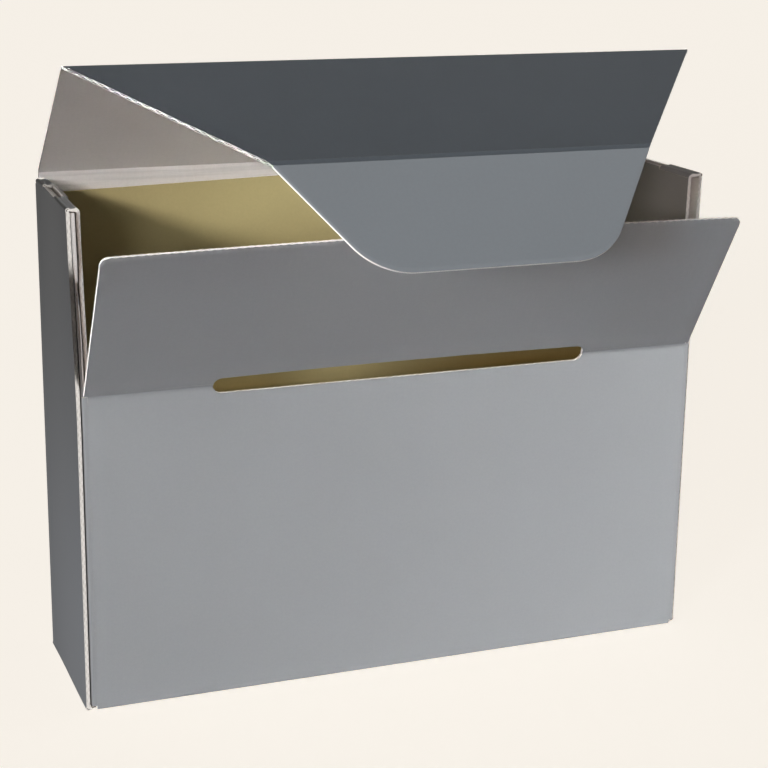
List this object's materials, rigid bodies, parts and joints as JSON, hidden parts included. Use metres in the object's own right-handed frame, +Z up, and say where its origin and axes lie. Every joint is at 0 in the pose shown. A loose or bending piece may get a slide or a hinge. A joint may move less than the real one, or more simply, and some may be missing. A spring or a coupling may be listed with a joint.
{
  "type": "archival box",
  "caption": "Fold-up archival box of grey fluted board for papers, with a tuck-in hinged lid, a drop front, rolled side walls and a loose backing sheet.",
  "frame": {"origin": "centre of the face the box stands on, under the middle of the bottom panel", "axes": "+X along the box to the right as seen from the front, +Y from the drop front to the back wall, +Z up"},
  "size_m": [0.291, 0.1711, 0.2763],
  "materials": {
    "outside_paper": "matt",
    "rolled_paper": "matt",
    "inside_paper": "matt",
    "olive_sheet": "matt"
  },
  "bodies": {
    "tray": {"bottom_panel": "outside_paper", "front_wall": "outside_paper", "back_wall": "outside_paper", "left_side_outer": "outside_paper", "right_side_outer": "outside_paper", "left_spine_front": "outside_paper", "left_spine_rear": "outside_paper", "right_spine_front": "outside_paper", "right_spine_rear": "outside_paper", "front_left_tab": "inside_paper", "front_right_tab": "inside_paper", "back_left_tab": "inside_paper", "back_right_tab": "inside_paper", "backing_sheet": "olive_sheet"},
    "drop_front": {"drop_front": "outside_paper"},
    "lid_top": {"lid_top": "outside_paper"},
    "lid_front": {"lid_front": "outside_paper"},
    "tuck_flap": {"tuck_flap": "outside_paper"},
    "left_inner_side": {"left_side_inner": "rolled_paper"},
    "right_inner_side": {"right_side_inner": "rolled_paper"}
  },
  "joints": [
    {"name": "lid_hinge", "type": "hinge", "parent": "tray", "child": "lid_top", "pos_m": [0, 0.0372, 0.2242], "axis": [-1, 0, 0], "range_deg": [-41.5, 138.5]},
    {"name": "drop_front_hinge", "type": "hinge", "parent": "tray", "child": "drop_front", "pos_m": [0, -0.038, 0.1415], "axis": [1, 0, 0], "range_deg": [-30.71, 103]},
    {"name": "lid_front_fold", "type": "hinge", "parent": "lid_top", "child": "lid_front", "pos_m": [0, -0.02077, 0.27549], "axis": [-1, 0, 0], "range_deg": [-26.5, 62.3]},
    {"name": "tuck_fold", "type": "hinge", "parent": "lid_front", "child": "tuck_flap", "pos_m": [0, -0.10004, 0.24537], "axis": [-1, 0, 0], "range_deg": [-62.1, 29.1]},
    {"name": "left_inner_fold", "type": "hinge", "parent": "tray", "child": "left_inner_side", "pos_m": [-0.1403, 0, 0.2202], "axis": [0, -1, 0], "range_deg": [0, 88]},
    {"name": "right_inner_fold", "type": "hinge", "parent": "tray", "child": "right_inner_side", "pos_m": [0.1403, 0, 0.2202], "axis": [0, -1, 0], "range_deg": [-88, 0]}
  ],
  "couplings": [
    {"joint": "drop_front_hinge", "follows": "lid_hinge", "ratio": 0.73976}
  ]
}
